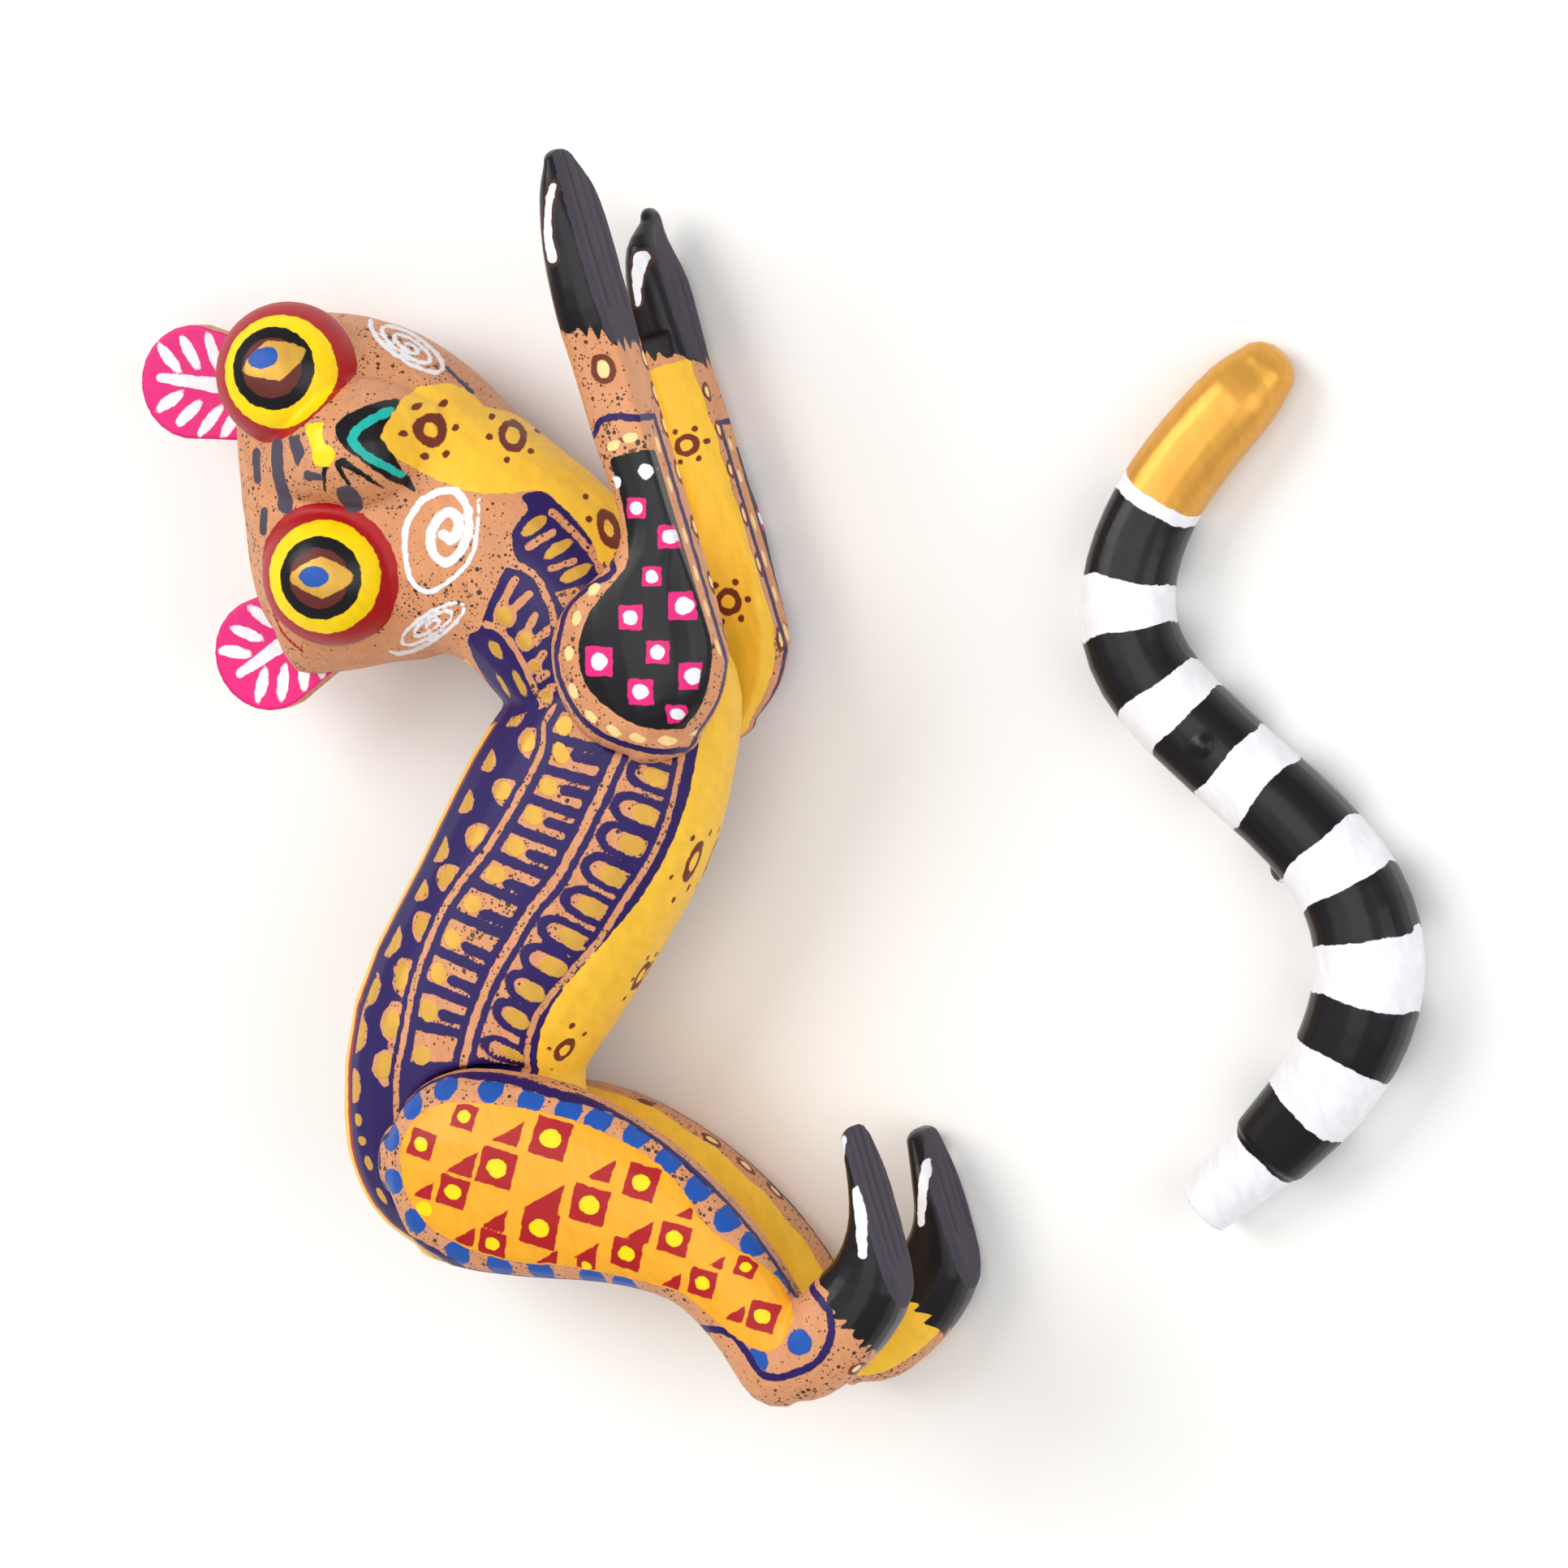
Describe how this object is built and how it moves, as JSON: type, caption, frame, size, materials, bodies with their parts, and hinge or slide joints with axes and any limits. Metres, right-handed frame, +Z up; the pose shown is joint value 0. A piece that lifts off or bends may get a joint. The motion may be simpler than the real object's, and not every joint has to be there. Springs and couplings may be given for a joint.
{
  "type": "alebrije figure",
  "caption": "Hand-carved and painted wooden lemur that crouches on its forearms with the rump raised and the face turned sideways, with a ringed plug-in tail laid beside it.",
  "frame": {"origin": "centre of the bounding box of the whole laid-out set, on the table it lies on", "axes": "+Z up from the table, +Y towards the figure's fingertips, +X towards the ground it crouches on when it is displayed; it lies on its left side with its tail apart"},
  "size_m": [0.1409, 0.1569, 0.0412],
  "materials": {
    "painted_copal": "hand-painted satin acrylic over sanded copal wood",
    "ear_paint": "hand-painted satin acrylic",
    "ringed_tail": "hand-painted satin acrylic rings with a metallic gold tip",
    "raw_copal": "bare sanded wood"
  },
  "bodies": {
    "figure": {"body_carving": "painted_copal", "right_arm": "painted_copal", "left_arm": "painted_copal", "right_leg": "painted_copal", "left_leg": "painted_copal", "right_shoulder_peg_front": "raw_copal", "right_shoulder_peg_rear": "raw_copal", "left_shoulder_peg_front": "raw_copal", "left_shoulder_peg_rear": "raw_copal", "right_hip_peg_upper": "raw_copal", "right_hip_peg_lower": "raw_copal", "left_hip_peg_upper": "raw_copal", "left_hip_peg_lower": "raw_copal", "front_ear": "ear_paint", "rear_ear": "ear_paint"},
    "tail": {"tail": "ringed_tail"}
  },
  "joints": [
    {"name": "tail_lift", "type": "slide", "parent": "figure", "child": "tail", "axis": [0, 0, 1], "range_m": [0, 0.08]}
  ]
}
